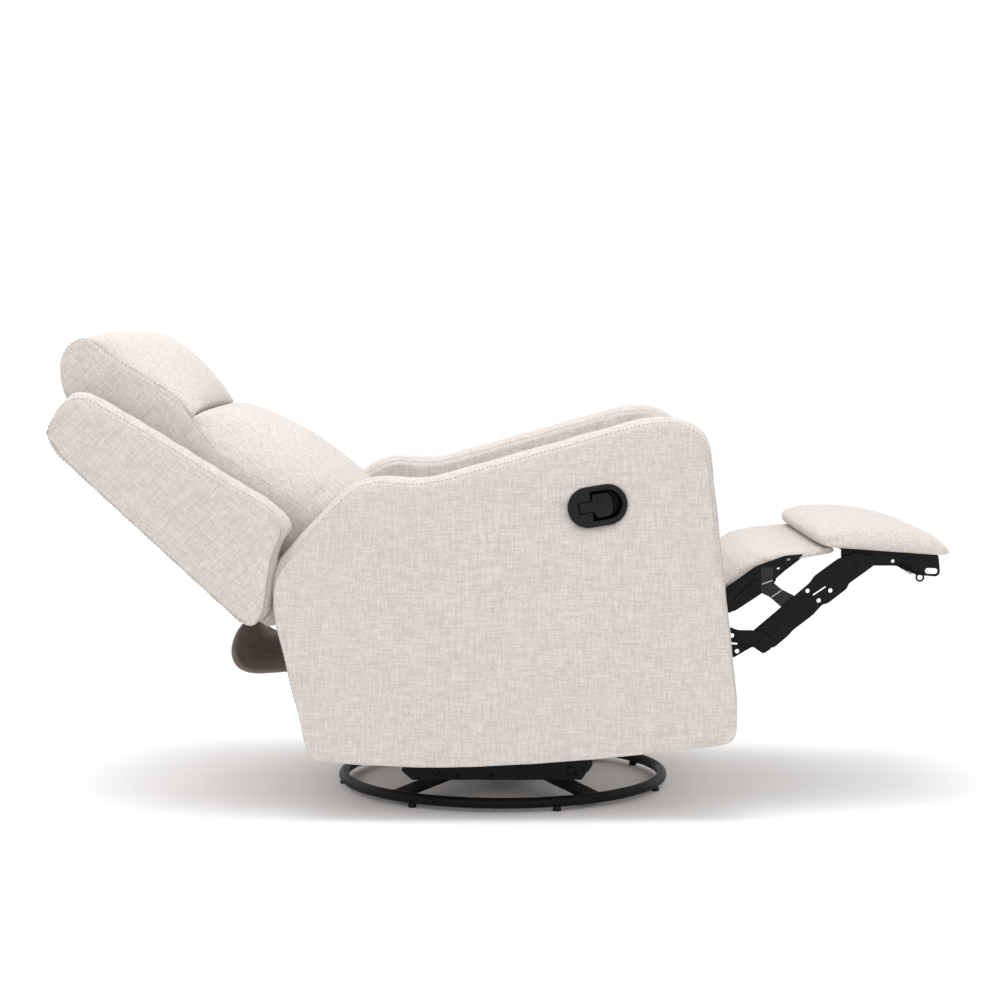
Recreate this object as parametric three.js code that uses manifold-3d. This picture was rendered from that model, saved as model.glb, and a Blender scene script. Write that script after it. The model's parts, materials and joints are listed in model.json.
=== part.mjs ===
// Swivel glider recliner for a nursery, reclined with its footrest out.
// Frame: +X forward, +Y to the sitter's left, +Z up, millimetres.
// Origin: on the floor, under the swivel axis.
import * as THREE from 'three';
import { mergeVertices } from 'three/addons/utils/BufferGeometryUtils.js';
import Module from 'manifold-3d';

const wasm = await Module();
wasm.setup();

// ---- driving dimensions -------------------------------------------------
const GAP = 0.3;
const SIDES = { right: -1, left: 1 };

const RING_R = 295.5;
const RING_TUBE_R = 9.5;
const RING_Z = 16.5;
const GLIDE_COUNT = 7;
const GLIDE_R = 7.5;
const GLIDE_FIRST_DEG = -20;
const SPOKE_DEG = [-55, -132, 48, 125];
const SPOKE_W = 38;
const HUB_R = 95;
const HUB_Z = [33, 41];
const BEARING_TOP = 52;

const STAND_Y = [228, 232];
const LINK_Y = [236, 242];
const CARRIER_Y = [246, 250];
const LINK_X = 118;
const LINK_TOP_Z = 158;
const LINK_LOW_Z = 66;
const LINK_HALF_W = 12;

const CROSS_TUBE_R = 12.5;
const CROSS_TUBE_Z = 195;
const FRONT_TUBE_X = 75;
const REAR_TUBE_X = -130;

const ARM_IN = 305;
const ARM_OUT = 380;
const ARM_WALL = 12;
const ARM_BOARD_T = 16;

const CUP_X = 159;
const CUP_Z = 541.5;
const CUP_TILT_DEG = 9.5;
const CUP_LENGTH = 98;
const CUP_HEIGHT = 66;
const CUP_DEPTH = 30;
const CUP_WALL = 3;

const PLATE_Y = [299, 303];
const LOWER_Y = [293, 297];
const LONG_Y = [287, 291];
const UPPER_Y = [281, 285];
const STRUT_Y = [275, 279];

const LOWER_PIVOT = [275, 310];
const KNEE_PIVOT = [448, 297];
const PAD_PIVOT = [620, 433];
const UPPER_PIVOT = [330, 325];
const STRUT_TOP = [465, 408];
const STRUT_FOOT = [500, 362];
const PAD_HALF_W = 290;
const FLAP_HALF_W = 264;

const SEAT_PITCH_DEG = 6.2;
const SEAT_REAR = [-165, 325];
const SEAT_HALF_W = 290;
const SEAT_LENGTH = 551;
const SEAT_THICK = 103;

const BACK_FOOT = [-446, 344];
const BACK_RECLINE_DEG = 47.04;
const BACK_PIVOT = [-181, 326];
const POST_Y = [296, 316];
const WING_Y = [320, 380];
const LUMBAR_HALF_W = 288;
const HEAD_HALF_W = 312;
const OUTSIDE_BACK_HALF_W = 315;

const rad = THREE.MathUtils.degToRad;

// ---- materials ----------------------------------------------------------
const finish = (color, roughness, metalness = 0) =>
  new THREE.MeshStandardMaterial({ color, roughness, metalness });
const linen = finish(0xdcd3c8, 0.95);
const blackSteel = finish(0x1b1b1c, 0.5, 0.8);
const blackPlastic = finish(0x161616, 0.45);
const rubber = finish(0x121212, 0.9);
const zinc = finish(0x8f9296, 0.35, 0.9);
const timber = finish(0xb98f5e, 0.8);

// ---- helpers ------------------------------------------------------------
const chair = new THREE.Group();

function add(name, geometry, material, parent = chair) {
  const mesh = new THREE.Mesh(geometry, material);
  mesh.name = name;
  parent.add(mesh);
  return mesh;
}

function toSolid(geometry) {
  const bare = geometry.clone();
  bare.deleteAttribute('normal');
  bare.deleteAttribute('uv');
  const merged = mergeVertices(bare, 1e-4);
  return new wasm.Manifold(new wasm.Mesh({
    numProp: 3,
    vertProperties: new Float32Array(merged.attributes.position.array),
    triVerts: new Uint32Array(merged.index.array),
  }));
}

function toGeometry(solid) {
  const mesh = solid.getMesh();
  const geometry = new THREE.BufferGeometry();
  const position = new THREE.BufferAttribute(new Float32Array(mesh.vertProperties), 3);
  geometry.setAttribute('position', position);
  geometry.setIndex(new THREE.BufferAttribute(new Uint32Array(mesh.triVerts), 1));
  geometry.computeVertexNormals();
  return geometry;
}

const join = (...parts) => toGeometry(parts.map(toSolid).reduce((a, b) => a.add(b)));
const cut = (body, ...tools) =>
  toGeometry(tools.map(toSolid).reduce((a, b) => a.subtract(b), toSolid(body)));

function polygon(points) {
  return new THREE.Shape(points.map(([x, z]) => new THREE.Vector2(x, z)));
}

// An outline in the XZ plane, carried along Y from yLow to yHigh.
function across(shape, yLow, yHigh, curveSegments = 5) {
  const options = { depth: yHigh - yLow, bevelEnabled: false, curveSegments };
  const geometry = new THREE.ExtrudeGeometry(shape, options);
  geometry.rotateX(Math.PI / 2);
  geometry.translate(0, yHigh, 0);
  return geometry;
}

// The same between two distances from the middle plane, on the named side.
function onSide(side, shape, [near, far], curveSegments = 5) {
  return SIDES[side] > 0
    ? across(shape, near, far, curveSegments)
    : across(shape, -far, -near, curveSegments);
}

function box(x0, x1, y0, y1, z0, z1) {
  const geometry = new THREE.BoxGeometry(x1 - x0, y1 - y0, z1 - z0);
  geometry.translate((x0 + x1) / 2, (y0 + y1) / 2, (z0 + z1) / 2);
  return geometry;
}

function upright(radius, z0, z1, x = 0, y = 0, sides = 20) {
  const geometry = new THREE.CylinderGeometry(radius, radius, z1 - z0, sides);
  geometry.rotateX(Math.PI / 2);
  geometry.translate(x, y, (z0 + z1) / 2);
  return geometry;
}

function crossTube(radius, x, z, halfLength, sides = 14) {
  const geometry = new THREE.CylinderGeometry(radius, radius, 2 * halfLength, sides);
  geometry.translate(x, 0, z);
  return geometry;
}

// A flat bar with round ends, along a polyline of pivots.
function barShape(points, radius, steps = 6) {
  const outline = [];
  const side = (from, to) => Math.atan2(to[1] - from[1], to[0] - from[0]) - Math.PI / 2;
  const last = points.length - 1;
  const cap = ([x, z], start) => {
    for (let i = 0; i <= steps; i += 1) {
      const a = start + (Math.PI * i) / steps;
      outline.push([x + radius * Math.cos(a), z + radius * Math.sin(a)]);
    }
  };
  const corner = ([x, z], before, after) => {
    const turn = Math.atan2(Math.sin(after - before), Math.cos(after - before));
    const mid = before + turn / 2;
    const reach = radius / Math.cos(turn / 2);
    outline.push([x + reach * Math.cos(mid), z + reach * Math.sin(mid)]);
  };
  for (let i = 1; i < last; i += 1) {
    corner(points[i], side(points[i - 1], points[i]), side(points[i], points[i + 1]));
  }
  cap(points[last], side(points[last - 1], points[last]));
  for (let i = last - 1; i > 0; i -= 1) {
    corner(points[i], side(points[i + 1], points[i]), side(points[i], points[i - 1]));
  }
  cap(points[0], side(points[1], points[0]));
  return polygon(outline);
}

function withHoles(shape, holes) {
  for (const [x, z, radius] of holes) {
    const path = new THREE.Path();
    path.absarc(x, z, radius, 0, 2 * Math.PI, true);
    shape.holes.push(path);
  }
  return shape;
}

// A stadium of the given length and height about (0, 0).
function stadium(length, height, ShapeClass = THREE.Shape) {
  const shape = new ShapeClass();
  const r = height / 2;
  const reach = length / 2 - r;
  shape.absarc(reach, 0, r, -Math.PI / 2, Math.PI / 2, false);
  shape.absarc(-reach, 0, r, Math.PI / 2, (3 * Math.PI) / 2, false);
  shape.closePath();
  return shape;
}

// ---- base: ring, cross, glides and bearing ------------------------------
function buildBase() {
  add('base_ring', new THREE.TorusGeometry(RING_R, RING_TUBE_R, 10, 56).translate(0, 0, RING_Z),
    blackSteel);

  const reach = RING_R - RING_TUBE_R - 1;
  const spokes = SPOKE_DEG.map((deg) => {
    const profile = polygon([
      [HUB_R - 12, HUB_Z[0]], [HUB_R + 15, HUB_Z[0]], [reach - 20, RING_Z - 4], [reach, RING_Z - 4],
      [reach, RING_Z + 4], [reach - 18, RING_Z + 4], [HUB_R + 17, HUB_Z[0] + 8],
      [HUB_R - 12, HUB_Z[0] + 8],
    ]);
    return across(profile, -SPOKE_W / 2, SPOKE_W / 2).rotateZ(rad(deg));
  });
  add('base_cross', join(upright(HUB_R, ...HUB_Z, 0, 0, 32), ...spokes), blackSteel);

  for (let i = 0; i < GLIDE_COUNT; i += 1) {
    const angle = rad(GLIDE_FIRST_DEG - (360 * i) / GLIDE_COUNT);
    const glide = upright(GLIDE_R, 0, RING_Z - RING_TUBE_R - GAP,
      RING_R * Math.cos(angle), RING_R * Math.sin(angle), 12);
    add(`floor_glide_${i + 1}`, glide, rubber);
  }
  add('swivel_bearing', upright(88, HUB_Z[1] + GAP, BEARING_TOP - GAP, 0, 0, 28), zinc);
}

// ---- turntable frame and its pendulum glider ----------------------------
function buildGlider() {
  const reach = STAND_Y[0] - GAP;
  const channels = [-80, 80].map((x) => box(x - 18, x + 18, -reach, reach, BEARING_TOP + 6, 78));
  add('swivel_frame', join(box(-105, 105, -90, 90, BEARING_TOP, BEARING_TOP + 6.5), ...channels),
    blackSteel);

  const stand = polygon([
    [-150, 60], [150, 60], [158, 72], [140, LINK_TOP_Z + 15], [-140, LINK_TOP_Z + 15], [-158, 72],
  ]);
  const carrier = polygon([
    [-161, 49], [138, 49], [155, 75], [120, 110], [104, CROSS_TUBE_Z + 20],
    [-150, CROSS_TUBE_Z + 20], [-162, 110], [-179, 66],
  ]);
  for (const side of Object.keys(SIDES)) {
    add(`glider_stand_${side}`, onSide(side, stand, STAND_Y), blackSteel);
    const tubes = [FRONT_TUBE_X, REAR_TUBE_X].map((x) =>
      crossTube(CROSS_TUBE_R + GAP, x, CROSS_TUBE_Z, 300));
    add(`glider_carrier_${side}`, cut(onSide(side, carrier, CARRIER_Y), ...tubes), blackSteel);
    for (const [end, x] of [['front', LINK_X], ['rear', -LINK_X]]) {
      const link = barShape([[x, LINK_LOW_Z], [x, LINK_TOP_Z]], LINK_HALF_W);
      add(`glider_link_${end}_${side}`, onSide(side, link, LINK_Y), blackSteel);
    }
  }
  const half = PLATE_Y[0] - GAP;
  add('chair_cross_tube_front', crossTube(CROSS_TUBE_R, FRONT_TUBE_X, CROSS_TUBE_Z, half),
    blackSteel);
  add('chair_cross_tube_rear', crossTube(CROSS_TUBE_R, REAR_TUBE_X, CROSS_TUBE_Z, half),
    blackSteel);
}

// ---- arms ---------------------------------------------------------------
function armShape() {
  const arm = new THREE.Shape();
  arm.moveTo(-320, 110);
  arm.lineTo(-384, 335);
  arm.quadraticCurveTo(-401, 400, -378, 442);
  arm.lineTo(-278, 556);
  arm.quadraticCurveTo(-240, 604, -190, 594);
  arm.quadraticCurveTo(-142, 582, -90, 597);
  arm.lineTo(240, 688);
  arm.quadraticCurveTo(340, 714, 351, 625);
  arm.lineTo(394, 215);
  arm.quadraticCurveTo(402, 138, 364, 134);
  arm.quadraticCurveTo(130, 100, -107, 94.5);
  arm.quadraticCurveTo(-230, 96, -320, 110);
  return arm;
}

function armHollow() {
  return polygon([
    [-306, 60], [-370, 338], [-382, 395], [-366, 434], [-262, 552], [-200, 578], [-140, 572],
    [-60, 588], [270, 676], [322, 664], [338, 610], [380, 205], [384, 60],
  ]);
}

function armBoardShape() {
  return polygon([
    [-304, 125], [-366, 338], [-376, 395], [-361, 430], [-258, 546], [-200, 570], [-140, 566],
    [-60, 582], [268, 669], [316, 658], [333, 608], [372, 205], [374, 150], [60, 118], [-200, 112],
  ]);
}

// The release cup's own frame: local x along the cup, local z up, on the right arm's outer face.
function cupGroup() {
  const group = new THREE.Group();
  group.position.set(CUP_X, -ARM_OUT, CUP_Z);
  group.rotation.y = -rad(CUP_TILT_DEG);
  chair.add(group);
  group.updateMatrixWorld(true);
  return group;
}

function buildArms(cup) {
  const cavityY = [ARM_IN + ARM_WALL, ARM_OUT - ARM_WALL];
  const boardY = [cavityY[0] + 1, cavityY[0] + 1 + ARM_BOARD_T];
  const cableHole = new THREE.CylinderGeometry(9, 9, 80, 12).translate(100, -ARM_IN - 20, 240);
  for (const side of Object.keys(SIDES)) {
    const tools = [onSide(side, armHollow(), cavityY)];
    let board = onSide(side, armBoardShape(), boardY);
    if (side === 'right') {
      const pocket = across(stadium(CUP_LENGTH - 8 + 2 * GAP, CUP_HEIGHT - 8 + 2 * GAP), -20, 40, 6);
      tools.push(pocket.applyMatrix4(cup.matrixWorld), cableHole);
      board = cut(board, cableHole);
    }
    add(`arm_cover_${side}`, cut(onSide(side, armShape(), [ARM_IN, ARM_OUT], 4), ...tools), linen);
    add(`arm_board_${side}`, board, timber);
  }
}

// ---- release cup, paddle, cable and latch --------------------------------
function buildRelease(cup) {
  const bezel = across(stadium(CUP_LENGTH, CUP_HEIGHT), -4, -GAP, 6);
  const tub = across(stadium(CUP_LENGTH - 8, CUP_HEIGHT - 8), -4, CUP_DEPTH, 6);
  const bore = across(stadium(CUP_LENGTH - 8 - 2 * CUP_WALL, CUP_HEIGHT - 8 - 2 * CUP_WALL),
    -10, CUP_DEPTH - CUP_WALL, 6);
  const face = across(stadium(CUP_LENGTH - 10, CUP_HEIGHT - 10), -1.5, 1.5, 6);
  const fingerSide = across(polygon([[-11, -40], [60, -40], [60, 40], [-11, 40]]), -3, 3);
  const stemSlot = across(polygon([[-33, -10], [0, -10], [0, 10], [-33, 10]]), -3, 3);
  const shell = cut(join(bezel, tub), bore);
  add('release_cup', join(shell, cut(face, fingerSide, stemSlot)), blackPlastic, cup);

  const paddle = polygon([
    [-32, -9], [-10, -9], [-10, -21], [20, -21], [25, -15], [25, 15], [20, 21], [-10, 21],
    [-10, 9], [-32, 9],
  ]);
  add('release_paddle', across(paddle, -1.5, 3), blackPlastic, cup);

  const route = new THREE.CatmullRomCurve3([
    [110, -342, 500], [104, -342, 460], [101, -342, 400], [100, -342, 330], [100, -342, 270],
    [100, -340, 248], [100, -330, 240], [100, -318, 240], [100, -306, 240],
  ].map((p) => new THREE.Vector3(...p)));
  const section = new THREE.Shape();
  section.absarc(0, 0, 3, 0, 2 * Math.PI, false);
  add('release_cable', new THREE.ExtrudeGeometry(section, {
    extrudePath: route, steps: 26, curveSegments: 4, bevelEnabled: false,
  }), blackPlastic);

  const hook = polygon([
    [88, 250], [88, 228], [112, 226], [122, 232], [120, 240], [126, 246], [112, 250],
  ]);
  add('latch_hook', onSide('right', hook, LOWER_Y), zinc);
}

// ---- recliner side plates -----------------------------------------------
function buildReclinerPlates() {
  const plate = polygon([
    [-203, 344], [-203, 305], [-158, 178], [98, 178], [288, 286], [352, 306], [352, 344],
  ]);
  for (const side of Object.keys(SIDES)) {
    add(`recliner_plate_${side}`, onSide(side, plate, PLATE_Y), blackSteel);
  }
}

// ---- seat ---------------------------------------------------------------
function buildSeat() {
  const seat = new THREE.Group();
  seat.position.set(SEAT_REAR[0], 0, SEAT_REAR[1]);
  seat.rotation.y = -rad(SEAT_PITCH_DEG);
  chair.add(seat);

  const cushion = new THREE.Shape();
  cushion.moveTo(4, 0);
  cushion.lineTo(470, 0);
  cushion.lineTo(500, 10);
  cushion.lineTo(SEAT_LENGTH - 18, 40);
  cushion.quadraticCurveTo(SEAT_LENGTH + 6, SEAT_THICK, SEAT_LENGTH - 34, SEAT_THICK);
  cushion.quadraticCurveTo(250, SEAT_THICK + 10, 0, SEAT_THICK - 8);
  add('seat_cushion', across(cushion, -SEAT_HALF_W, SEAT_HALF_W, 4), linen, seat);
  add('seat_deck', box(0, 450, -SEAT_HALF_W + 4, SEAT_HALF_W - 4, -7, -1), timber, seat);
  add('seat_front_rail', box(412, 448, -272, 272, -42, -7 - GAP), timber, seat);
}

// ---- reclining back -----------------------------------------------------
function wingShape() {
  const wing = new THREE.Shape();
  wing.moveTo(0, 0);
  wing.lineTo(0, 415);
  wing.quadraticCurveTo(2, 470, 62, 462);
  wing.quadraticCurveTo(100, 462, 107, 432);
  wing.lineTo(132, 320);
  wing.lineTo(164, 160);
  wing.quadraticCurveTo(188, 70, 166, 52);
  wing.lineTo(116, 36);
  wing.lineTo(84, 15);
  wing.lineTo(54, -6);
  wing.quadraticCurveTo(32, -24, 6, -20);
  return wing;
}

function headShape() {
  const head = new THREE.Shape();
  head.moveTo(62, 305);
  head.lineTo(234, 305);
  head.quadraticCurveTo(262, 390, 249, 450);
  head.quadraticCurveTo(222, 520, 155, 554);
  head.quadraticCurveTo(98, 566, 64, 530);
  head.quadraticCurveTo(46, 506, 58, 480);
  return head;
}

function lumbarShape() {
  const lumbar = new THREE.Shape();
  lumbar.moveTo(62, 296);
  lumbar.lineTo(62, 40);
  lumbar.lineTo(150, -92);
  lumbar.lineTo(268, -92);
  lumbar.quadraticCurveTo(305, -70, 303, 60);
  lumbar.quadraticCurveTo(292, 170, 238, 296);
  return lumbar;
}

function buildBack() {
  const back = new THREE.Group();
  back.position.set(BACK_FOOT[0], 0, BACK_FOOT[1]);
  back.rotation.y = -rad(BACK_RECLINE_DEG);
  chair.add(back);

  add('lumbar_cushion', across(lumbarShape(), -LUMBAR_HALF_W, LUMBAR_HALF_W), linen, back);
  add('head_cushion', across(headShape(), -HEAD_HALF_W, HEAD_HALF_W), linen, back);
  add('outside_back', box(1, 9, -OUTSIDE_BACK_HALF_W, OUTSIDE_BACK_HALF_W, -18, 462), linen, back);
  const reach = POST_Y[0] - GAP;
  const lowerReach = reach - 5;
  add('back_rail_lower', box(15, 50, -lowerReach, lowerReach, 18, 62), timber, back);
  add('back_rail_upper', box(15, 50, -reach, reach, 418, 462), timber, back);

  for (const side of Object.keys(SIDES)) {
    const post = polygon([[15, 15], [55, 15], [55, 464], [15, 464]]);
    add(`back_post_${side}`, onSide(side, post, POST_Y), timber, back);
    add(`back_wing_${side}`, onSide(side, wingShape(), WING_Y), linen, back);
    const bracket = barShape([BACK_PIVOT, [-300, 322], [-424, 386], [-500, 457]], 15);
    add(`back_bracket_${side}`, onSide(side, bracket, [POST_Y[0] - 5, POST_Y[0] - 1]), blackSteel);
  }

  const skirt = polygon([
    [-452, 332], [-474, 300], [-475, 274], [-463, 250], [-440, 239], [-370, 243], [-300, 250],
    [-300, 255], [-370, 248], [-438, 244], [-459, 254], [-470, 275], [-469, 299], [-447, 330],
  ]);
  add('rear_skirt', across(skirt, -286, 286), linen);
}

// ---- footrest and its linkage -------------------------------------------
function footrestPadShape() {
  const pad = new THREE.Shape();
  pad.moveTo(598, 475);
  pad.lineTo(582, 476);
  pad.lineTo(582, 463);
  pad.lineTo(568, 464);
  pad.quadraticCurveTo(548, 470, 552, 486);
  pad.quadraticCurveTo(558, 500, 604, 508);
  pad.quadraticCurveTo(664, 514, 718, 500);
  pad.quadraticCurveTo(770, 484, 779, 462);
  pad.quadraticCurveTo(780, 447, 768, 449);
  pad.lineTo(764, 463);
  return pad;
}

function flapShape() {
  const flap = new THREE.Shape();
  flap.moveTo(561, 449);
  flap.lineTo(533, 447);
  flap.lineTo(488, 443);
  flap.quadraticCurveTo(440, 430, 389, 382);
  flap.lineTo(380, 392);
  flap.quadraticCurveTo(432, 446, 490, 456);
  flap.lineTo(533, 459);
  flap.lineTo(561, 461);
  return flap;
}

function buildFootrest() {
  const hole = 5;
  const lower = () => withHoles(barShape([LOWER_PIVOT, [380, 291], KNEE_PIVOT], 18),
    [[402, 300, 4], [410, 280, 3]]);
  const long = () => withHoles(
    barShape([KNEE_PIVOT, PAD_PIVOT], 21),
    [[534, 372, hole], [566, 382, hole], [546, 356, hole]]);
  const upper = () => withHoles(
    barShape([UPPER_PIVOT, [510, 426]], 19),
    [[500, 428, hole], [484, 410, hole]]);
  const strut = () => barShape([STRUT_TOP, STRUT_FOOT], 14);
  const bracket = () => withHoles(polygon([
    [586, 460.4], [586, 443], [598, 430], [680, 430], [696, 422], [721, 412], [752, 410],
    [757, 421], [755, 448.6],
  ]), [[742, 421, 5.5]]);

  for (const side of Object.keys(SIDES)) {
    add(`footrest_lower_link_${side}`, onSide(side, lower(), LOWER_Y), blackSteel);
    add(`footrest_long_link_${side}`, onSide(side, long(), LONG_Y), blackSteel);
    add(`footrest_upper_link_${side}`, onSide(side, upper(), UPPER_Y), blackSteel);
    add(`footrest_strut_${side}`, onSide(side, strut(), STRUT_Y), blackSteel);
    add(`footrest_bracket_${side}`, onSide(side, bracket(), STRUT_Y), blackSteel);
  }
  add('footrest_torque_tube', crossTube(8, LOWER_PIVOT[0], LOWER_PIVOT[1], LOWER_Y[0] - GAP),
    blackSteel);

  const board = polygon([[584, 461], [584, 473], [756, 461], [756, 449]]);
  add('footrest_board', across(board, -PAD_HALF_W + 6, PAD_HALF_W - 6), timber);
  add('footrest_pad', across(footrestPadShape(), -PAD_HALF_W, PAD_HALF_W), linen);
  add('footrest_flap', across(flapShape(), -FLAP_HALF_W, FLAP_HALF_W), linen);
}

buildBase();
buildGlider();
const cup = cupGroup();
buildArms(cup);
buildRelease(cup);
buildReclinerPlates();
buildSeat();
buildBack();
buildFootrest();

export default chair;
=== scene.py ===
"""Looks of the nursery glider recliner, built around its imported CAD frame."""

import json
from math import atan2, cos, pi, radians, sin, tan

import bmesh
import bpy
import numpy as np
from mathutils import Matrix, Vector


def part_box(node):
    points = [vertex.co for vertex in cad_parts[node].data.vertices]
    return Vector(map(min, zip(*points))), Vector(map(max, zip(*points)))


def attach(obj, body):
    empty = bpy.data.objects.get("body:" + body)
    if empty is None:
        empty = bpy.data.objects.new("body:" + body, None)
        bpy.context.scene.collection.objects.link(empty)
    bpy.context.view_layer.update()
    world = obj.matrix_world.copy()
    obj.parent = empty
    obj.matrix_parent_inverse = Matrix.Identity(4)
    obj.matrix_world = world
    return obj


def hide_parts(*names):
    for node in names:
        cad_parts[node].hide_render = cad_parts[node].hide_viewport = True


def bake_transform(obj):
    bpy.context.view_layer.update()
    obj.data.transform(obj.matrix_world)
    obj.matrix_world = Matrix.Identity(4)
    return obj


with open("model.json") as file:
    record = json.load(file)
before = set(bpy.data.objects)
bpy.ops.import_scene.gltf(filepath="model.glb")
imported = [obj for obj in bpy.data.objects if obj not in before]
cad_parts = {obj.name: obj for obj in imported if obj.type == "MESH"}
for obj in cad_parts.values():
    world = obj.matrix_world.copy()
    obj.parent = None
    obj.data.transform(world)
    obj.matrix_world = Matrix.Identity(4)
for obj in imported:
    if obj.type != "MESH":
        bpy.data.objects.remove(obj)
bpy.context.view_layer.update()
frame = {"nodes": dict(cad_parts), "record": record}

MM = 0.001
SIDES = {"right": -1.0, "left": 1.0}

# ---- driving dimensions, in metres ----
ARM_IN = 0.305
ARM_OUT = 0.380
WING_IN = 0.320
WING_OUT = 0.380
BACK_FOOT = Vector((-0.446, 0.0, 0.344))
BACK_RECLINE = radians(47.04)
SEAT_REAR = Vector((-0.165, 0.0, 0.325))
SEAT_PITCH = radians(6.2)
CUP = Vector((0.159, -ARM_OUT, 0.5415))
CUP_TILT = radians(9.5)
POCKET_LENGTH = 0.0912
POCKET_HEIGHT = 0.0592
RING_R = 0.2955
RING_TUBE_R = 0.0095
RING_Z = 0.0165


# ---- outlines ----
def outline(start, *legs, steps=14):
    """A closed outline in (x, z): legs of 2 numbers are straight, of 4 are quadratic curves."""
    points = [np.array(start, float)]
    for leg in legs:
        last = points[-1]
        if len(leg) == 2:
            points.append(np.array(leg, float))
            continue
        bend, end = np.array(leg[:2], float), np.array(leg[2:], float)
        for i in range(1, steps + 1):
            t = i / steps
            points.append((1 - t) ** 2 * last + 2 * t * (1 - t) * bend + t * t * end)
    return np.array(points) * MM


def resample(points, count):
    """The closed outline again, as count points at even steps."""
    closed = np.vstack([points, points[:1]])
    run = np.concatenate([[0], np.cumsum(np.linalg.norm(np.diff(closed, axis=0), axis=1))])
    at = np.linspace(0, run[-1], count, endpoint=False)
    return np.stack([np.interp(at, run, closed[:, k]) for k in (0, 1)], axis=1)


def relax(points, rounds):
    """Rounds off a closed outline's corners."""
    for _ in range(rounds):
        points = 0.5 * points + 0.25 * (np.roll(points, 1, 0) + np.roll(points, -1, 0))
    return points


def smooth_line(points, count, rounds):
    """An open line again with count points, its corners rounded off."""
    at = np.linspace(0, len(points) - 1, count)
    line = np.stack([np.interp(at, range(len(points)), points[:, k]) for k in (0, 1)], axis=1)
    for _ in range(rounds):
        line[1:-1] = 0.5 * line[1:-1] + 0.25 * (line[:-2] + line[2:])
    return line


def outward(points):
    """Unit normals that point out of a closed outline."""
    run = np.roll(points, -1, 0) - np.roll(points, 1, 0)
    normal = np.stack([run[:, 1], -run[:, 0]], axis=1)
    normal /= np.linalg.norm(normal, axis=1)[:, None]
    x, z = points[:, 0], points[:, 1]
    area = np.sum(x * np.roll(z, -1) - np.roll(x, -1) * z)
    return normal if area > 0 else -normal


def angles(count):
    """Even steps once round a circle."""
    return [2 * pi * k / count for k in range(count)]


# ---- meshes ----
def add_object(name, data):
    """A new object in the scene that shows the data."""
    obj = bpy.data.objects.new(name, data)
    bpy.context.scene.collection.objects.link(obj)
    return obj


def assign(target, **values):
    """Sets the target's properties by name."""
    for key, value in values.items():
        setattr(target, key, value)


def modify(obj, kind, **values):
    """Adds a modifier with its settings."""
    modifier = obj.modifiers.new(kind.lower(), kind)
    assign(modifier, **values)
    return modifier


def face_out(mesh, weld=0.0):
    """Turns a mesh's faces outward, after joining points nearer than weld."""
    bm = bmesh.new()
    bm.from_mesh(mesh)
    if weld:
        bmesh.ops.remove_doubles(bm, verts=bm.verts, dist=weld)
    bmesh.ops.recalc_face_normals(bm, faces=bm.faces)
    bm.to_mesh(mesh)
    bm.free()


def smooth_faces(mesh):
    mesh.polygons.foreach_set("use_smooth", [True] * len(mesh.polygons))


def points_of(mesh):
    """A mesh's points, one row each."""
    co = np.empty(len(mesh.vertices) * 3)
    mesh.vertices.foreach_get("co", co)
    return co.reshape(-1, 3)


def make(name, verts, faces, material):
    """A new smooth mesh object in the shared frame, with its faces pointing out."""
    mesh = bpy.data.meshes.new(name)
    mesh.from_pydata([tuple(v) for v in verts], [], [tuple(f) for f in faces])
    face_out(mesh)
    smooth_faces(mesh)
    mesh.materials.append(material)
    return add_object(name, mesh)


def skin(rings):
    """Vertices and faces of a closed body through equal rings, with a fan at each end."""
    count = len(rings[0])
    verts = [p for ring in rings for p in ring]
    faces = []
    for i in range(len(rings) - 1):
        for k in range(count):
            m = (k + 1) % count
            faces.append((i * count + k, i * count + m, (i + 1) * count + m, (i + 1) * count + k))
    for first, ring in ((0, rings[0]), ((len(rings) - 1) * count, rings[-1])):
        centre = len(verts)
        verts.append(np.mean(ring, axis=0))
        faces += [(centre, first + k, first + (k + 1) % count) for k in range(count)]
    return verts, faces


def back_place(points):
    """From (normal, up along the back, y) to the shared frame."""
    c, s = cos(BACK_RECLINE), sin(BACK_RECLINE)
    n, up, y = points[..., 0], points[..., 1], points[..., 2]
    return np.stack([BACK_FOOT.x + n * c - up * s, y, BACK_FOOT.z + n * s + up * c], axis=-1)


def seat_place(points):
    """From (forward, up, y) in the seat's own slope to the shared frame."""
    c, s = cos(SEAT_PITCH), sin(SEAT_PITCH)
    a, up, y = points[..., 0], points[..., 1], points[..., 2]
    return np.stack([SEAT_REAR.x + a * c - up * s, y, SEAT_REAR.z + a * s + up * c], axis=-1)


def plain_place(points):
    """From (x, z, y) to the shared frame."""
    return points[..., [0, 2, 1]]


def paint_seam_shade(obj, shade):
    """Stores how near each vertex is to a seam: the cloth's material paints shade there, as if it
    fell in the seam's groove.
    """
    obj.data.attributes.new("seam", "FLOAT", "POINT").data.foreach_set("value", shade)


POCKET_DEPTH = 0.034
FACE_RINGS = (0.1, 0.25, 0.4, 0.55, 0.68, 0.79, 0.88, 0.94, 0.975)
EDGE_RINGS = ((0.0040, 0.0), (0.0016, 0.0003), (0.0005, 0.0010), (0.0006, 0.0019), (0.0012, 0.0027))
BAND_STEPS = 12


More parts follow.
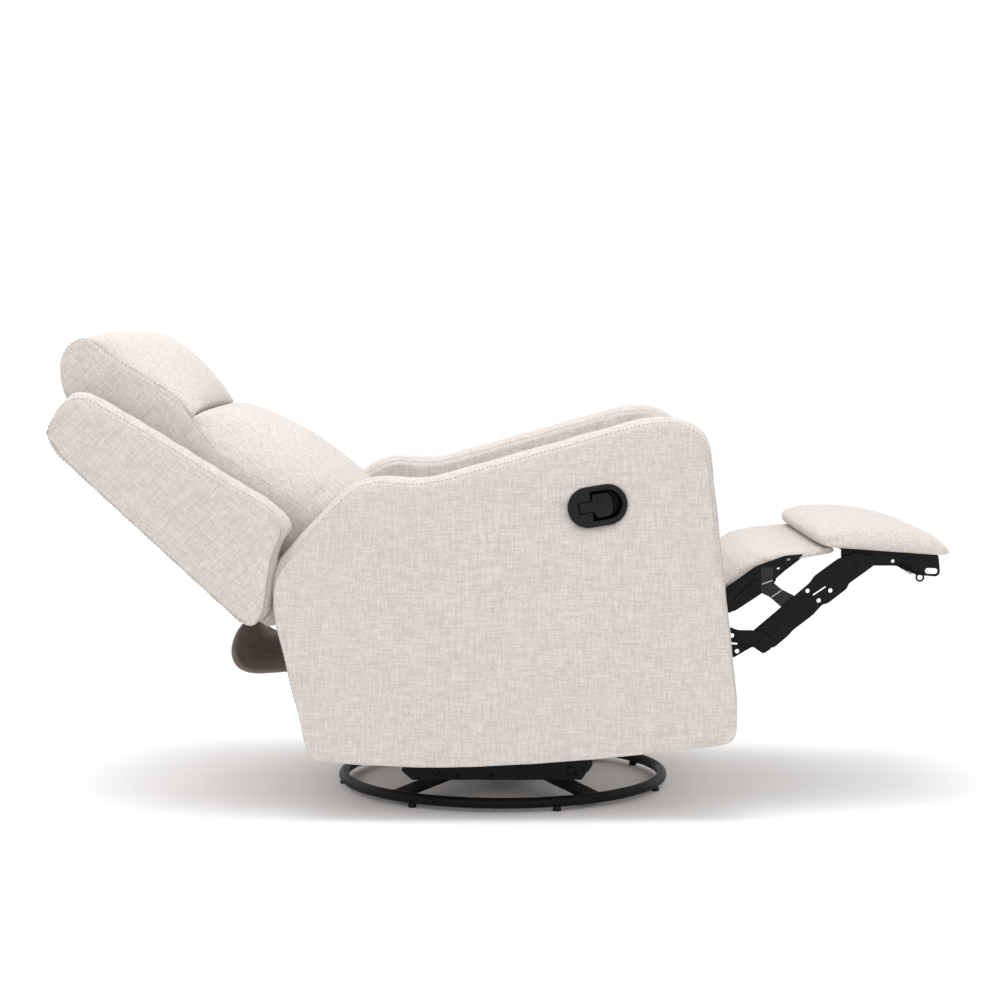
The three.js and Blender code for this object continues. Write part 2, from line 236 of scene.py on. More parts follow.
def upholstered_panel(name, shape, outer, inner, crown, bulge, place, material, crest=None,
                      pocket=None):
    """A board with padded faces, a crowned band round its edge and a seam on each side of the band.

    outer and inner are the two faces' y. crest is the way that the band is fullest. pocket is the
    outline of a recess in the outer face, point for point with shape. Returns the object and its
    two seam lines.
    """
    normal = outward(shape)
    centre = shape.mean(axis=0)
    into = 1.0 if inner > outer else -1.0
    thick = abs(inner - outer)
    facing = 1.0 if crest is None else normal @ np.array(crest)
    lift = np.clip(0.15 + 1.25 * np.clip(facing, 0, 1), 0.15, 1.0) * np.ones(len(shape))
    phase = np.linspace(0, 2 * pi, len(shape), endpoint=False)

    def ring(points, depth):
        return np.column_stack([points, np.zeros(len(points)) + outer + into * depth])

    def face(depth_of, order, core):
        rings = []
        for r in order:
            swell = bulge * (1 - r ** 3) * (1 + 0.12 * np.sin(3 * phase + 4 * r))
            dimple = 0.0006 * np.sin(7 * phase + 9 * r) * (1 - r)
            rings.append(ring(core + r * (shape - core), depth_of(swell + dimple)))
        return rings

    rings = []
    if pocket is not None:
        rings += [ring(pocket, depth) for depth in (POCKET_DEPTH, 0.5 * POCKET_DEPTH, 0.0)]
    rings += face(lambda swell: -swell, FACE_RINGS, centre if pocket is None else pocket)
    rings += [ring(shape - normal * inset, depth) for inset, depth in EDGE_RINGS]
    seams = [len(rings) - 2]
    seam_depth = EDGE_RINGS[-1][1]
    band = []
    for i in range(1, BAND_STEPS):
        t = i / BAND_STEPS
        rise = crown * (1 - abs(2 * t - 1) ** 2.6) * lift
        ripple = 0.0005 * np.sin(23 * phase + 5 * t)
        points = shape + normal * (rise + ripple)[:, None]
        band.append(ring(points, seam_depth + (thick - 2 * seam_depth) * t))
    rings += band
    seams.append(len(rings) + 1)
    rings += [ring(shape - normal * inset, thick - depth) for inset, depth in reversed(EDGE_RINGS)]
    rings += face(lambda swell: thick + swell * 0.6, reversed(FACE_RINGS), centre)

    verts, faces = skin([place(r) for r in rings])
    obj = make(name, verts, faces, material)
    # Painted shade: the rows at and beside each seam groove get a darkening weight, which the linen
    # turns into shade.
    shade = np.zeros(len(verts))
    for seam in seams:
        for row, amount in ((seam - 1, 0.35), (seam, 1.0), (seam + 1, 0.5)):
            shade[row * len(shape):(row + 1) * len(shape)] = amount
    paint_seam_shade(obj, shade)
    lines = []
    for band_ring in (band[0], band[-1]):
        points = place(band_ring)
        ahead = place(band_ring + np.column_stack([normal, np.zeros(len(normal))]))
        lines.append((points, ahead - points))
    return obj, lines


def stitches(name, line, material, pitch=0.0072, length=0.0046, radius=0.00055, keep=None):
    """A row of sewn threads along a closed line, a little proud of the cloth."""
    points, normals = line
    closed = np.vstack([points, points[:1]])
    run = np.concatenate([[0], np.cumsum(np.linalg.norm(np.diff(closed, axis=0), axis=1))])
    sway = np.vstack([normals, normals[:1]])
    verts, faces = [], []
    for i in range(int(run[-1] / pitch)):
        ends = (i * pitch, i * pitch + length)
        a, b = (np.array([np.interp(e, run, closed[:, k]) for k in range(3)]) for e in ends)
        up = np.array([np.interp(ends[0], run, sway[:, k]) for k in range(3)])
        if keep is not None and not keep(a):
            continue
        along = b - a
        along /= np.linalg.norm(along)
        side = np.cross(along, up)
        side /= np.linalg.norm(side)
        base = len(verts)
        for share, r in ((0.0, 0.35), (0.2, 1.0), (0.8, 1.0), (1.0, 0.35)):
            spot = a + (b - a) * share + up * radius * (0.2 + 0.5 * r)
            for k in range(6):
                turn = pi * k / 3
                verts.append(spot + radius * r * (cos(turn) * side + sin(turn) * up))
        for j in range(3):
            for k in range(6):
                m = (k + 1) % 6
                row = base + 6 * j
                faces.append((row + k, row + m, row + 6 + m, row + 6 + k))
        faces.append(tuple(base + k for k in range(6)))
        faces.append(tuple(base + 18 + k for k in range(6)))
    return make(name, verts, faces, material)


def plate(name, points, y0, y1, material, holes=(), bevel=0.0006, place=plain_place):
    """A flat plate: its outline in (x, z), its round or slotted holes and soft edges."""
    curve = bpy.data.curves.new(name, "CURVE")
    assign(curve, dimensions="2D", fill_mode="BOTH", extrude=abs(y1 - y0) / 2 - bevel,
           bevel_depth=bevel, bevel_resolution=2, offset=-bevel)
    for loop in (points, *holes):
        spline = curve.splines.new("POLY")
        spline.points.add(len(loop) - 1)
        for point, (x, z) in zip(spline.points, loop):
            point.co = (x, z, 0, 1)
        spline.use_cyclic_u = True
    source = add_object(name + "_curve", curve)
    bpy.context.view_layer.update()
    evaluated = source.evaluated_get(bpy.context.evaluated_depsgraph_get())
    mesh = bpy.data.meshes.new_from_object(evaluated)
    bpy.data.objects.remove(source)
    co = points_of(mesh)
    flat = np.column_stack([co[:, 0], co[:, 1], (y0 + y1) / 2 - co[:, 2]])
    mesh.vertices.foreach_set("co", place(flat).ravel())
    mesh.materials.clear()
    mesh.materials.append(material)
    face_out(mesh, weld=1e-6)
    obj = add_object(name, mesh)
    soften(obj)
    return obj


def soften(obj, degrees=35):
    """Smooth shading that keeps creases sharper than the angle."""
    smooth_faces(obj.data)
    obj.data.set_sharp_from_angle(angle=radians(degrees))


def circle(x, z, radius, count=20):
    return [(x + radius * cos(a), z + radius * sin(a)) for a in angles(count)]


def slot_hole(x0, z0, x1, z1, radius, count=8):
    """A slot with round ends from one point to another."""
    turn = atan2(z1 - z0, x1 - x0)
    loop = []
    for x, z, start in ((x1, z1, turn - pi / 2), (x0, z0, turn + pi / 2)):
        loop += [(x + radius * cos(start + pi * k / count),
                  z + radius * sin(start + pi * k / count)) for k in range(count + 1)]
    return loop


def turned(name, profile, centre, axis, material, segments=28):
    """A turned piece: profile of (distance along axis, radius), closed on the axis at both ends."""
    axis = Vector(axis).normalized()
    side = axis.orthogonal().normalized()
    up = axis.cross(side)
    rings = []
    for along, radius in profile:
        rings.append([Vector(centre) + axis * along
                      + (side * cos(a) + up * sin(a)) * max(radius, 1e-5)
                      for a in angles(segments)])
    verts, faces = skin([[np.array(p) for p in ring] for ring in rings])
    obj = make(name, verts, faces, material)
    soften(obj, 40)
    return obj


def rivet(name, x, y, z, outward_y, radius, material, height=0.0032):
    """A domed rivet head on a plate's face."""
    profile = [(-0.001, 0.0), (-0.001, radius * 0.98), (0.0004, radius),
               (height * 0.45, radius * 0.9), (height * 0.8, radius * 0.62),
               (height, radius * 0.3), (height, 0.0)]
    return turned(name, profile, (x, y, z), (0, outward_y, 0), material, 20)


def tube(name, path, radius, material, sides=10, closed=False):
    """A round bar along a list of points."""
    points = [np.array(p, float) for p in path]
    count = len(points)
    rings = []
    up = np.array((0.0, 0.0, 1.0))
    for i, p in enumerate(points):
        ahead = points[(i + 1) % count] if closed or i + 1 < count else p
        behind = points[i - 1] if closed or i else p
        along = (ahead - behind) / np.linalg.norm(ahead - behind)
        if i == 0 and abs(along @ up) > 0.9:
            up = np.array((1.0, 0.0, 0.0))
        side = np.cross(along, up)
        side /= np.linalg.norm(side)
        up = np.cross(side, along)
        rings.append([p + radius * (cos(a) * side + sin(a) * up)
                      for a in angles(sides)])
    if not closed:
        verts, faces = skin(rings)
    else:
        verts = [p for ring in rings for p in ring]
        faces = []
        for i in range(count):
            j = (i + 1) % count
            faces += [(i * sides + k, i * sides + (k + 1) % sides,
                       j * sides + (k + 1) % sides, j * sides + k) for k in range(sides)]
    return make(name, verts, faces, material)


def put(obj, body, slot, *nodes):
    """Rides obj on a body and hides the CAD nodes that it stands for. slot is not used."""
    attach(obj, body)
    if nodes:
        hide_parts(*nodes)
    return obj


# ---- materials ----
class Nodes:
    """A short way to write a material's node tree."""

    def __init__(self, name):
        self.material = bpy.data.materials.new(name)
        self.material.use_nodes = True
        self.tree = self.material.node_tree
        self.shader = self.tree.nodes["Principled BSDF"]
        self.place = self.add("ShaderNodeTexCoord").outputs["Object"]

    def add(self, kind, links=None, **values):
        node = self.tree.nodes.new(kind)
        for key, value in values.items():
            setattr(node, key, value)
        for key, value in (links or {}).items():
            socket = node.inputs[key]
            if isinstance(value, bpy.types.NodeSocket):
                self.tree.links.new(value, socket)
            else:
                socket.default_value = value
        return node

    def math(self, operation, a, b=0.0):
        return self.add("ShaderNodeMath", {0: a, 1: b}, operation=operation).outputs[0]

    def times(self, a, b):
        return self.math("MULTIPLY", a, b)

    def plus(self, a, b):
        return self.math("ADD", a, b)

    def bump(self, height, strength, distance):
        node = self.add("ShaderNodeBump", {"Height": height, "Strength": strength,
                                           "Distance": distance})
        return node.outputs[0]

    def mix(self, share, a, b):
        node = self.add("ShaderNodeMix", {0: share, 6: a, 7: b}, data_type="RGBA")
        return node.outputs[2]

    def noise(self, vector, scale, detail=3.0, roughness=0.55):
        node = self.add("ShaderNodeTexNoise", {"Vector": vector, "Scale": scale, "Detail": detail,
                                               "Roughness": roughness})
        return node.outputs["Fac"]

    def ramp(self, value, low, high):
        node = self.add("ShaderNodeMapRange", {0: value, 1: low, 2: high, 3: 0.0, 4: 1.0})
        return node.outputs[0]

    def stretched(self, vector, scale):
        node = self.add("ShaderNodeMapping", {"Vector": vector, "Scale": scale})
        return node.outputs[0]

    def out(self, **sockets):
        for key, value in sockets.items():
            socket = self.shader.inputs[key.replace("_", " ")]
            if isinstance(value, bpy.types.NodeSocket):
                self.tree.links.new(value, socket)
            else:
                socket.default_value = value
        return self.material


def scaled(color, share):
    """A colour at a share of its brightness, no brighter than white."""
    return tuple(min(1, c * share) for c in color[:3]) + (1,)


def cross_threads(n, place, slow, fast, join="ADD"):
    """Noise drawn out along each axis in turn, so that it crosses like uneven warp and weft."""
    fields = []
    for axis in range(3):
        scale = [fast, fast, fast]
        scale[axis] = slow
        fields.append(n.noise(n.stretched(place, scale), 1.0, 1.5, 0.5))
    joined = n.math(join, n.math(join, fields[0], fields[1]), fields[2])
    return n.times(joined, 1 / 3) if join == "ADD" else joined


def linen(name, light, dark, turn=0.0):
    """Plain-weave upholstery linen: crossing slubby threads, a fine weave, a soft nap and painted
    shade along seams.
    """
    n = Nodes(name)
    place = n.add("ShaderNodeMapping", {"Vector": n.place, "Rotation": (0, turn, 0)}).outputs[0]
    coarse = cross_threads(n, place, 34.0, 330.0)
    fine = cross_threads(n, place, 70.0, 640.0)
    slubs = cross_threads(n, place, 30.0, 420.0, "MAXIMUM")
    mesh = n.plus(n.times(coarse, 0.55), n.times(fine, 0.45))
    slub = n.ramp(mesh, 0.435, 0.565)
    gaps = n.ramp(slubs, 0.60, 0.78)
    waves = []
    for direction in ("X", "Y", "Z"):
        wave = n.add("ShaderNodeTexWave", {"Vector": place, "Scale": 210.0, "Distortion": 1.4,
                                           "Detail": 1.0}, bands_direction=direction)
        waves.append(wave.outputs["Fac"])
    weave = n.times(n.plus(n.plus(waves[0], waves[1]), waves[2]), 0.333)
    cloud = n.ramp(n.noise(place, 5.0, 2.0), 0.3, 0.7)
    tone = n.mix(slub, light, dark)
    tone = n.mix(n.times(gaps, 0.40), tone, scaled(dark, 0.80))
    tone = n.mix(n.times(cloud, 0.10), tone, scaled(light, 0.86))
    # Painted shade: the cloth darkens where the seam attribute marks a seam groove.
    seam = n.add("ShaderNodeAttribute", attribute_name="seam").outputs["Fac"]
    tone = n.mix(n.times(seam, 0.75), tone, scaled(dark, 0.62))
    height = n.plus(n.times(weave, 0.5), n.times(slub, 0.6))
    height = n.math("SUBTRACT", height, n.times(gaps, 0.3))
    bump = n.bump(height, 0.45, 0.0006)
    rough = n.plus(0.86, n.times(slub, 0.08))
    return n.out(Base_Color=tone, Roughness=rough, Normal=bump, Sheen_Weight=0.18,
                 Sheen_Roughness=0.5, Specular_IOR_Level=0.2)


def thread(name, color):
    """Twisted sewing thread."""
    n = Nodes(name)
    twist = n.add("ShaderNodeTexWave", {"Vector": n.place, "Scale": 900.0, "Distortion": 1.0},
                  bands_direction="DIAGONAL").outputs["Fac"]
    tone = n.mix(twist, color, scaled(color, 0.7))
    bump = n.bump(twist, 0.5, 0.0002)
    return n.out(Base_Color=tone, Roughness=0.7, Normal=bump)


def coated_steel(name, color, rough):
    """Black powder coat with a faint orange-peel skin and rubbed high spots."""
    n = Nodes(name)
    peel = n.noise(n.place, 900.0, 2.0)
    smear = n.ramp(n.noise(n.place, 22.0, 4.0), 0.35, 0.7)
    scuff = n.ramp(n.noise(n.stretched(n.place, (60, 60, 240)), 1.0, 5.0, 0.7), 0.66, 0.78)
    tone = n.mix(n.times(scuff, 0.35), color, (0.03, 0.03, 0.03, 1))
    roughness = n.plus(rough, n.times(smear, 0.16))
    bump = n.bump(peel, 0.12, 0.0002)
    return n.out(Base_Color=tone, Roughness=roughness, Metallic=0.0, Normal=bump,
                 Specular_IOR_Level=0.14)


def bare_metal(name, color):
    """Zinc-plated steel with fine brushing."""
    n = Nodes(name)
    brush = n.noise(n.stretched(n.place, (900, 60, 900)), 1.0, 3.0)
    spots = n.ramp(n.noise(n.place, 60.0, 3.0), 0.4, 0.7)
    tone = n.mix(spots, color, scaled(color, 0.75))
    roughness = n.plus(0.24, n.times(brush, 0.25))
    bump = n.bump(brush, 0.15, 0.0001)
    return n.out(Base_Color=tone, Roughness=roughness, Metallic=1.0, Normal=bump)


def moulded(name, color, rough, grain=1400.0):
    """Satin moulded plastic or rubber with a fine spark-eroded grain."""
    n = Nodes(name)
    fine = n.noise(n.place, grain, 2.0)
    wear = n.ramp(n.noise(n.place, 70.0, 4.0), 0.45, 0.75)
    tone = n.mix(n.times(wear, 0.4), color, scaled(color, 1.8))
    roughness = n.plus(rough, n.times(wear, 0.12))
    bump = n.bump(fine, 0.2, 0.0002)
    return n.out(Base_Color=tone, Roughness=roughness, Normal=bump,
                 Specular_IOR_Level=0.18)


def plywood(name):
    """Raw plywood: pale grain along X with thin veneer lines at its edges."""
    n = Nodes(name)
    grain = n.noise(n.stretched(n.place, (12, 160, 160)), 1.0, 6.0, 0.65)
    ply = n.add("ShaderNodeTexWave", {"Vector": n.place, "Scale": 110.0, "Distortion": 2.0},
                bands_direction="Y").outputs["Fac"]
    tone = n.mix(n.ramp(grain, 0.35, 0.65), (0.60, 0.42, 0.25, 1), (0.40, 0.26, 0.14, 1))
    tone = n.mix(n.times(ply, 0.2), tone, (0.30, 0.19, 0.10, 1))
    bump = n.bump(grain, 0.25, 0.0004)
    return n.out(Base_Color=tone, Roughness=0.72, Normal=bump)


LIGHT = (0.630, 0.578, 0.542, 1)
DARK = (0.485, 0.434, 0.400, 1)
linen_body = linen("linen_body", LIGHT, DARK)
linen_back = linen("linen_back", LIGHT, DARK, BACK_RECLINE)
linen_seat = linen("linen_seat", LIGHT, DARK, SEAT_PITCH)
taupe_cloth = linen("taupe_cloth", (0.480, 0.383, 0.342, 1), (0.380, 0.294, 0.262, 1))
sewing_thread = thread("sewing_thread", (0.50, 0.45, 0.41, 1))
black_steel = coated_steel("black_steel", (0.0035, 0.0035, 0.0038, 1), 0.40)
# Painted reflection: a lighter copy of the black coat for the strut, standing in for the light that
# its bends reflect.
painted_reflection_steel = coated_steel("painted_reflection_steel", (0.022, 0.022, 0.024, 1), 0.36)
black_plastic = moulded("black_plastic", (0.0065, 0.0065, 0.0068, 1), 0.45)
rubber = moulded("rubber", (0.014, 0.014, 0.014, 1), 0.75, 500.0)
zinc = bare_metal("zinc", (0.55, 0.56, 0.58, 1))
timber = plywood("timber")
SLOTS = {"linen": linen_body, "black_steel": black_steel, "black_plastic": black_plastic,
         "rubber": rubber, "zinc": zinc, "timber": timber}


def finish_frame_nodes():
    """Gives every carried-over CAD node its procedural material and soft edges."""
    for part in frame["record"]["subparts"]:
        obj = frame["nodes"][part["node"]]
        obj.data.materials.clear()
        obj.data.materials.append(SLOTS[part["material_slot"]])
        modify(obj, "WELD", merge_threshold=1e-5)
        modify(obj, "BEVEL", width=0.0008, segments=2, limit_method="ANGLE",
               angle_limit=radians(50))


# ---- arms ----
ARM_STITCHES_FROM = 0.2


def arm_shape():
    """An arm's outline in (x, z), inside its crowned band."""
    points = outline(
        (-331, 116), (-338, 138), (-384, 335), (-400, 400, -374, 436), (-277, 540),
        (-238, 580, -190, 575), (-142, 566, -90, 581), (215, 667), (338, 702, 351, 602),
        (391, 250), (396, 200), (397.5, 158), (398, 136, 374, 133.5), (130, 100, -107, 94.5),
        (-230, 96, -321, 106), (-329, 107, -331, 116))
    return relax(resample(points, 420), 4)


def pocket_outline(shape):
    """The release cup's recess in the arm, met at the same angle by each point of the outline."""
    centre = np.array((CUP.x, CUP.z))
    radius = POCKET_HEIGHT / 2
    reach = POCKET_LENGTH / 2 - radius
    spread = shape - centre
    angle = np.arctan2(spread[:, 1], spread[:, 0]) - CUP_TILT
    c, s = np.abs(np.cos(angle)), np.abs(np.sin(angle))
    flat = radius / np.maximum(s, 1e-6)
    round_end = reach * c + np.sqrt(np.maximum(radius ** 2 - (reach * s) ** 2, 0))
    away = np.where(flat * c <= reach, flat, round_end)
    angle += CUP_TILT
    return centre + away[:, None] * np.column_stack([np.cos(angle), np.sin(angle)])


def build_arms():
    shape = arm_shape()
    for side, sign in SIDES.items():
        pocket = pocket_outline(shape) if side == "right" else None
        arm, seams = upholstered_panel(
            f"arm_{side}", shape, sign * ARM_OUT, sign * ARM_IN, 0.0155, 0.0035, plain_place,
            linen_body, crest=(0, 1), pocket=pocket)
        put(arm, "chair", "linen", f"arm_cover_{side}")
        for i, seam in enumerate(seams):
            row = stitches(f"arm_stitches_{side}_{i}", seam, sewing_thread,
                           keep=lambda p: p[2] > ARM_STITCHES_FROM)
            put(row, "chair", "linen")


# ---- back ----
def wing_shape():
    """A wing's outline in the back's own frame, inside its crowned band."""
    points = outline(
        (0, 0), (0, 412), (2, 472, 62, 465), (92, 461, 100, 430), (124, 320), (155, 160),
        (180, 66, 160, 52), (116, 36), (84, 15), (54, -6), (32, -24, 6, -20))
    return relax(resample(points, 260), 5)


def cushion(name, shape_at, half_width, place, stations=33):
    """A closed pad: one outline for each station across it, with its ends drawn in."""
    rings = []
    for i in range(stations):
        across = sin(pi / 2 * (2 * i / (stations - 1) - 1))
        points = shape_at(across)
        y = np.full(len(points), half_width * across)
        rings.append(np.column_stack([points, y]))
    capped = []
    for r in (0.2, 0.45, 0.7, 0.88):
        centre = rings[0][:, :2].mean(axis=0)
        ring = rings[0].copy()
        ring[:, :2] = centre + r * (ring[:, :2] - centre)
        ring[:, 2] -= 0.010 * (1 - r ** 2) ** 0.8
        capped.append(ring)
    ends = [ring.copy() for ring in reversed(capped)]
    for ring in ends:
        ring[:, 2] *= -1
    verts, faces = skin([place(r) for r in capped + rings + ends])
    return make(name, verts, faces, linen_body)


def dome(across, power=2.6, root=0.55):
    """How full a pad is from 1 at its middle to 0 at its ends."""
    return (1 - abs(across) ** power) ** root


CLOTH_FRAMES = 20


def inflate(obj, held, cap, voxel=0.006):
    """Blows a pad up as cloth: held(co) says which points are sewn or glued down."""
    modify(obj, "REMESH", mode="VOXEL", voxel_size=voxel)
    bake(obj)
    mesh = obj.data
    start = points_of(mesh)
    pins = obj.vertex_groups.new(name="held")
    pins.add([int(i) for i in np.nonzero(held(start))[0]], 1.0, "ADD")
    scene = bpy.context.scene
    scene.frame_start, scene.frame_end = 1, CLOTH_FRAMES
    cloth = modify(obj, "CLOTH")
    assign(cloth.settings, quality=4, mass=0.35, tension_stiffness=14, compression_stiffness=14,
           shear_stiffness=6, bending_stiffness=1.2, use_pressure=True,
           uniform_pressure_force=4.0, vertex_group_mass="held")
    cloth.settings.effector_weights.gravity = 0.0
    cloth.collision_settings.use_collision = False
    cloth.point_cache.frame_start, cloth.point_cache.frame_end = 1, CLOTH_FRAMES
    for now in range(1, CLOTH_FRAMES + 1):
        scene.frame_set(now)
    shaped = obj.evaluated_get(bpy.context.evaluated_depsgraph_get()).data
    travel = points_of(shaped) - start
    obj.modifiers.remove(cloth)
    reach = np.linalg.norm(travel, axis=1)
    travel *= np.minimum(1.0, cap / np.maximum(reach, 1e-9))[:, None]
    mesh.vertices.foreach_set("co", (start + travel).ravel())
    mesh.update()
    scene.frame_set(1)


def bake(obj):
    """Applies the object's modifiers to its mesh."""
    bpy.context.view_layer.update()
    done = bpy.data.meshes.new_from_object(
        obj.evaluated_get(bpy.context.evaluated_depsgraph_get()))
    obj.modifiers.clear()
    obj.data = done


def smooth_pad(obj, rounds=4):
    """Smooths a pad and gives it one finer level."""
    modify(obj, "SMOOTH", factor=0.5, iterations=rounds)
    bake(obj)
    smooth_faces(obj.data)
    modify(obj, "SUBSURF", levels=1, render_levels=1)


def soft(obj, held, material, **options):
    """Simulates a pad as cloth, then finishes its surface."""
    inflate(obj, held, **options)
    smooth_pad(obj)
    obj.data.materials.clear()
    obj.data.materials.append(material)


HEAD_SIDE = ((64, 298), (203, 298), (201, 340), (189, 401), (177, 458), (173, 505), (168, 526),
             (150, 534), (128, 536), (108, 528), (91, 511), (78, 496), (70, 478), (64, 440))
HEAD_CROWN = ((64, 304), (214, 303), (226, 322), (236, 368), (238, 410), (235, 442), (226, 476),
              (200, 510), (170, 534), (136, 542), (100, 534), (76, 514), (64, 484), (62, 440))
LUMBAR_SIDE = ((64, 302), (64, 40), (150, -88), (214, -88), (213, 0), (210, 40), (203, 86),
               (194, 134), (183, 183), (177, 235), (183, 272), (203, 302))
LUMBAR_CROWN = ((64, 298), (64, 40), (150, -88), (276, -88), (288, -40), (288, 25), (284, 90),
                (277, 139), (266, 185), (253, 228), (237, 268), (216, 297))
BACK_SEAM_Y = 0.296
BOXING_Y = 0.306


def section(side, crown, count, rounds, *fullness):
    """A cushion's outline anywhere across it, between its sewn edge and its crown."""
    def at(across):
        share = dome(across, *fullness)
        points = (1 - share) * np.array(side) + share * np.array(crown)
        return relax(resample(points * MM, count), rounds)
    return at


def in_back(co):
    """(normal, up along the back) of points in the shared frame."""
    x, z = co[..., 0] - BACK_FOOT.x, co[..., 2] - BACK_FOOT.z
    c, s = cos(BACK_RECLINE), sin(BACK_RECLINE)
    return x * c + z * s, -x * s + z * c


def head_seam(obj):
    """Sinks the seam that runs over the top of the head cushion and paints shade into its groove.
    """
    seam_n, seam_from, width, sink = 0.169, 0.47, 0.003, 0.0022
    co = points_of(obj.data)
    n, up = in_back(co)
    near = np.exp(-((n - seam_n) / width) ** 2) * (up > seam_from)
    co[:, 0] += sink * near * sin(BACK_RECLINE)
    co[:, 2] -= sink * near * cos(BACK_RECLINE)
    obj.data.vertices.foreach_set("co", co.ravel())
    # Painted shade along the sunk seam.
    paint_seam_shade(obj, 0.8 * near)


def build_boxing(side, sign):
    """The side panel that the head and lumbar cushions are both sewn to."""
    run = [(64, 40), (150, -88)] + list(LUMBAR_SIDE[3:11]) + list(HEAD_SIDE[2:])
    shape = relax(resample(np.array(run) * MM, 300), 3)
    panel, seams = upholstered_panel(
        f"back_boxing_{side}", shape, sign * BOXING_Y, sign * (BACK_SEAM_Y - 0.001), 0.0008, 0.003,
        back_place, linen_back)
    put(panel, "back", "linen")
    row = stitches(f"back_boxing_stitches_{side}", seams[0], sewing_thread,
                   keep=lambda p: in_back(p)[0] > 0.12)
    put(row, "back", "linen")


def build_back():
    shape = wing_shape()
    for side, sign in SIDES.items():
        wing, seams = upholstered_panel(
            f"wing_{side}", shape, sign * WING_OUT, sign * WING_IN, 0.0165, 0.004, back_place,
            linen_back, crest=(1, 0.1))
        put(wing, "back", "linen", f"back_wing_{side}")
        for i, seam in enumerate(seams):
            put(stitches(f"wing_stitches_{side}_{i}", seam, sewing_thread), "back", "linen")
        build_boxing(side, sign)

    head = cushion("head_pillow", section(HEAD_SIDE, HEAD_CROWN, 150, 3), BACK_SEAM_Y, back_place)
    soft(head, lambda co: (in_back(co)[0] < 0.172) | (in_back(co)[1] < 0.306), linen_back,
         cap=0.008)
    head_seam(head)
    put(head, "back", "linen", "head_cushion")
    lumbar = cushion("lumbar_pad", section(LUMBAR_SIDE, LUMBAR_CROWN, 170, 3), BACK_SEAM_Y,
                     back_place)
    soft(lumbar, lambda co: (in_back(co)[0] < 0.165) | (in_back(co)[1] > 0.294), linen_back,
         cap=0.008)
    put(lumbar, "back", "linen", "lumbar_cushion")

    panel = relax(resample(outline((-315, -18), (315, -18), (315, 462), (-315, 462)), 360), 3)

    def panel_place(points):
        return back_place(np.stack([points[..., 2], points[..., 1], points[..., 0]], axis=-1))

    cover, seams = upholstered_panel("outside_back_cover", panel, 0.001, 0.011, 0.002, 0.0025,
                                     panel_place, linen_back)
    put(cover, "back", "linen", "outside_back")
    put(stitches("outside_back_stitches", seams[0], sewing_thread), "back", "linen")


# ---- rear skirt ----
def build_skirt():
    """Cloth that closes the gap under the back: it hangs in a belly."""
    run = [(-447, 336), (-463, 318), (-472, 296), (-474, 274), (-466, 254), (-449, 243),
           (-425, 240), (-390, 243), (-350, 247), (-305, 252)]
    line = smooth_line(np.array(run) * MM, 46, 6)
    steps = 97
    half = 0.286
    verts, faces = [], []
    for j in range(steps):
        y = half * (2 * j / (steps - 1) - 1)
        for i, (x, z) in enumerate(line):
            share = i / (len(line) - 1)
            belly = sin(pi * share)
            waves = sin(31 * y + 2.2 * share) + 0.6 * sin(67 * y + 5 * share)
            fold = 0.0032 * belly * waves
            verts.append((x - fold * 0.7, y, z - fold * 0.7))
    rows = len(line)
    for j in range(steps - 1):
        for i in range(rows - 1):
            a = j * rows + i
            faces.append((a, a + 1, a + rows + 1, a + rows))
    skirt = make("rear_skirt_cloth", verts, faces, taupe_cloth)
    modify(skirt, "SOLIDIFY", thickness=0.0012)
    bake(skirt)
    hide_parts("rear_skirt")
    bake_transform(skirt)


# ---- closing panels ----
def strip_panel(name, profile, half, place, material, body):
    """A lined strip of cloth across the chair: its section's centre line in millimetres."""
    line = smooth_line(np.array(profile, float) * MM, 8 * len(profile), 3)
    steps = 61
    along = np.gradient(line, axis=0)
    side = np.stack([-along[:, 1], along[:, 0]], axis=1)
    side /= np.linalg.norm(side, axis=1)[:, None]
    rings = []
    for j in range(steps):
        across = 2 * j / (steps - 1) - 1
        soft_edge = (1 - abs(across) ** 14) ** 0.5
        puff = 0.0028 * soft_edge * (1 + 0.12 * sin(11 * across) + 0.08 * sin(23 * across))
        ends = 0.35 + 0.65 * np.sin(np.linspace(0, pi, len(line))) ** 0.4
        lift = (side.T * puff * ends).T
        loop = np.vstack([line + lift, (line - lift)[::-1]])
        rings.append(np.column_stack([loop, np.full(len(loop), half * across)]))
    verts, faces = skin([place(r) for r in rings])
    panel = make(name, verts, faces, material)
    put(panel, body, "linen")


def build_closing_panels():
    """Cloth over the frame's timber and in the gaps round the back's foot and the seat."""
    strip_panel("back_underside", [(4, -16), (36, -22), (64, -30), (108, -62), (148, -94)], 0.300,
                back_place, linen_back, "back")
    strip_panel("back_top_cap", [(4, 463), (22, 468), (44, 469), (62, 466), (70, 455),
                                  (71, 400), (71, 200), (71, 60)], 0.3165, back_place,
                linen_back, "back")
    strip_panel("seat_front_band", [(462, 4), (460, -8), (456, -28), (450, -44), (438, -47)], 0.274,
                seat_place, linen_seat, "seat")
    strip_panel("lumbar_tail", [(176, -82), (170, -100), (162, -112), (150, -122)], 0.276,
                back_place, linen_back, "back")
    strip_panel("seat_rear_band", [(9, 46), (-14, 38), (-40, 26), (-62, 16)], 0.274, seat_place,
                linen_seat, "seat")
    foot = outline((10, -20), (10, 40), (150, 60), (150, -95), (64, -72), (34, -56), (14, -40))
    for side, sign in SIDES.items():
        flank = plate(f"back_foot_side_{side}", foot, sign * 0.2970,
                      sign * 0.3010, linen_back, bevel=0.0012, place=back_place)
        put(flank, "back", "linen")


# ---- seat ----
def seat_outline(across):
    d = dome(across, 4.0, 0.5)
    top = 88 + 14 * d
    return relax(resample(outline(
        (4, 2), (470, 2), (500, 12), (532, 42), (556, top + 2, 516, top),
        (250, top + 8, 4, top - 10)), 170), 3)


